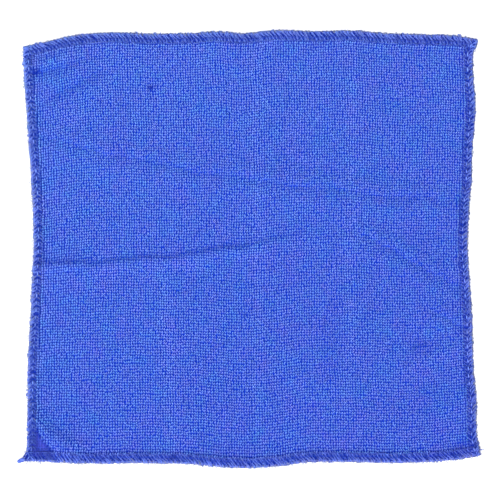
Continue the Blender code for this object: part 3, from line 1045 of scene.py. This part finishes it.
def make_thread_ends(cloth):
    """The chain run off at the lower left corner, and the thread end at the lower right one."""
    t = np.linspace(0.0, 1.0, 30)
    axis, tail = (np.array(end.start) + t[:, None] * np.subtract(end.end, end.start) for end in (CHAIN, TAIL))
    heading = (axis[-1] - axis[0]) / np.linalg.norm(axis[-1] - axis[0])
    beside = np.array([-heading[1], heading[0], 0.0])
    swing_out = CHAIN.radius * np.sqrt(np.clip(1 - (2 * t - 1) ** 6, 0.0, 1.0))
    paths = []
    for phase in CHAIN_PHASES:
        angle = 2 * np.pi * CHAIN_TURNS * t + phase
        aside = (swing_out * np.cos(angle))[:, None] * beside
        paths.append(axis + aside + (swing_out * np.sin(angle))[:, None] * UP)
    tail[:, 1] += TAIL.sway * np.sin(2.5 * np.pi * t)
    paths = np.array([*paths, tail])
    radii = np.full(paths.shape[:2], cloth.thread * CHAIN.girth)
    radii[-1] = cloth.chain * (TAIL.girth - TAIL.thins * t)
    tone = np.full(paths.shape[:2], ENDS_TONE[0]) + ENDS_TONE[1] * np.sin(40 * t)
    return tube_object("thread_ends", paths, radii, 6, tone)


def make_hairs(cloth):
    """Loose fibres that curl out of the edges, most of them short."""
    random = np.random.default_rng(HAIR_SEED)
    error = HAIR_ERROR
    t = np.linspace(0.0, 1.0, 5)
    paths = []
    for name in random.choice([side.name for side in SIDES], cloth.hairs, p=HAIRS_BY_SIDE):
        along = random.uniform(0.0, cloth.edge.length(name))
        point, tangent, inward = cloth.edge.at(name, np.array([along]))
        reach = HAIR.shortest + random.exponential(HAIR.longer)
        lean = random.normal(0.0, error.lean)
        curl = random.normal(0.0, error.curl)
        sideways = reach * (lean * t + curl * t**2)
        flat = point + (HAIR.root - t * reach)[:, None] * inward + sideways[:, None] * tangent
        low, high = cloth.faces(point, np.array([0.0]))
        level = (low + high) / 2 + random.normal(0.0, error.level)
        level = level + t**2 * random.normal(error.droop, error.lift)
        paths.append(np.column_stack([flat, np.maximum(level, HAIR.lowest)]))
    paths = np.array(paths)
    each = np.ones((len(paths), 1))
    radii = cloth.hair / 2 * (HAIR.girth - HAIR.thins * t) * each
    return tube_object("loose_fibres", paths, radii, 3, (1 - HAIR.shade + HAIR.shade * t) * each)


# ---- Stage ----


def make_table(colours):
    mesh = bpy.data.meshes.new("table")
    corners = [(x * TABLE_HALF, y * TABLE_HALF, 0.0) for x, y in ((-1, -1), (1, -1), (1, 1), (-1, 1))]
    mesh.from_pydata(corners, [], [(0, 1, 2, 3)])
    material, nodes, shader = shaded_material("table")
    for label, value in {"Base Color": colours.table, "Roughness": 0.9, "Specular IOR Level": 0.1}.items():
        nodes.feed(value, shader[label])
    mesh.materials.append(material)
    add_object("table", mesh)


def make_lights(scene, settings):
    """One wide soft light from the lower left, and even light all round."""
    lamp = bpy.data.lights.new("key", "SUN")
    lamp.angle = settings.key_spread
    lamp.energy = settings.key
    key = add_object("key", lamp)
    key.location = KEY_PLACE
    key.rotation_euler = (-Vector(KEY_PLACE)).to_track_quat("-Z", "Y").to_euler()
    world = bpy.data.worlds.new("studio")
    world.use_nodes = True
    background = world.node_tree.nodes["Background"]
    background.inputs["Color"].default_value = (1.0, 1.0, 1.0, 1.0)
    background.inputs["Strength"].default_value = settings.fill
    scene.world = world


def make_camera(scene, settings):
    """The camera looks straight down at the cloth."""
    data = bpy.data.cameras.new("camera")
    data.sensor_width = SENSOR
    data.lens = SENSOR * settings.camera_height / settings.view_width
    camera = add_object("camera", data)
    camera.location = (*CAMERA_PLACE, settings.camera_height)
    scene.camera = camera


# ---- Operators ----


def cloth_and_colours(context):
    return Cloth(context.scene.cloth_sizes), context.scene.cloth_colours


class CLOTH_OT_stage(bpy.types.Operator):
    """Set up the table, the lights and the camera"""

    bl_idname = "cloth.make_stage"
    bl_label = "Stage"

    def execute(self, context):
        scene = context.scene
        make_table(scene.cloth_colours)
        make_lights(scene, scene.cloth_studio)
        make_camera(scene, scene.cloth_studio)
        scene.view_settings.view_transform = "Standard"
        return {"FINISHED"}


class CLOTH_OT_knit(bpy.types.Operator):
    """Knit the loops of the cloth's upper face"""

    bl_idname = "cloth.make_knit"
    bl_label = "Knit"

    def execute(self, context):
        cloth, colours = cloth_and_colours(context)
        material = textile_material(LOOPS, colours)
        for piece in make_knit(cloth):
            settle(piece, material, cloth)
        return {"FINISHED"}


class CLOTH_OT_seams(bpy.types.Operator):
    """Sew the four overlocked sides"""

    bl_idname = "cloth.make_seams"
    bl_label = "Seams"

    def execute(self, context):
        cloth, colours = cloth_and_colours(context)
        thread = textile_material(THREAD, colours)
        line = textile_material(LINE, colours)
        random = np.random.default_rng(SEAM_SEED)
        for seam in SEAMS:
            for make in (make_strands, make_line, make_cord, make_edge_loops):
                settle(make(cloth, seam, random), line if make is make_line else thread, cloth)
        settle(make_thread_ends(cloth), thread, cloth)
        return {"FINISHED"}


class CLOTH_OT_hairs(bpy.types.Operator):
    """Add the loose fibres at the edges"""

    bl_idname = "cloth.make_hairs"
    bl_label = "Loose fibres"

    def execute(self, context):
        cloth, colours = cloth_and_colours(context)
        settle(make_hairs(cloth), textile_material(LOOSE, colours), cloth)
        return {"FINISHED"}


class CLOTH_OT_ground(bpy.types.Operator):
    """Lay the cloth's ground, which carries the knit and the seams, so it comes after them"""

    bl_idname = "cloth.make_ground"
    bl_label = "Ground"

    def execute(self, context):
        cloth, colours = cloth_and_colours(context)
        sheet = make_sheet(cloth)
        settle(sheet, textile_material(GROUND, colours), cloth)
        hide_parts("cloth")
        return {"FINISHED"}


STEPS = (CLOTH_OT_stage, CLOTH_OT_knit, CLOTH_OT_seams, CLOTH_OT_hairs, CLOTH_OT_ground)


class CLOTH_PT_panel(bpy.types.Panel):
    """Lists the cloth's settings and its steps"""

    bl_label = "Microfibre cloth"
    bl_idname = "CLOTH_PT_panel"
    bl_space_type = "VIEW_3D"
    bl_region_type = "UI"
    bl_category = "Cloth"

    def draw(self, context):
        for group in (context.scene.cloth_sizes, context.scene.cloth_colours, context.scene.cloth_studio):
            box = self.layout.box()
            for name in group.bl_rna.properties.keys():
                if name not in {"rna_type", "name"}:
                    box.prop(group, name)
        for step in STEPS:
            self.layout.operator(step.bl_idname)


SETTINGS = {"cloth_sizes": ClothSizes, "cloth_colours": ClothColours, "cloth_studio": StudioSettings}
CLASSES = (*SETTINGS.values(), *STEPS, CLOTH_PT_panel)


def register():
    for item in CLASSES:
        bpy.utils.register_class(item)
    for name, group in SETTINGS.items():
        setattr(bpy.types.Scene, name, PointerProperty(type=group))


def unregister():
    for name in SETTINGS:
        delattr(bpy.types.Scene, name)
    for item in reversed(CLASSES):
        bpy.utils.unregister_class(item)


def main():
    register()
    bpy.ops.cloth.make_stage()
    bpy.ops.cloth.make_knit()
    bpy.ops.cloth.make_seams()
    bpy.ops.cloth.make_hairs()
    bpy.ops.cloth.make_ground()


if __name__ == "__main__":
    main()
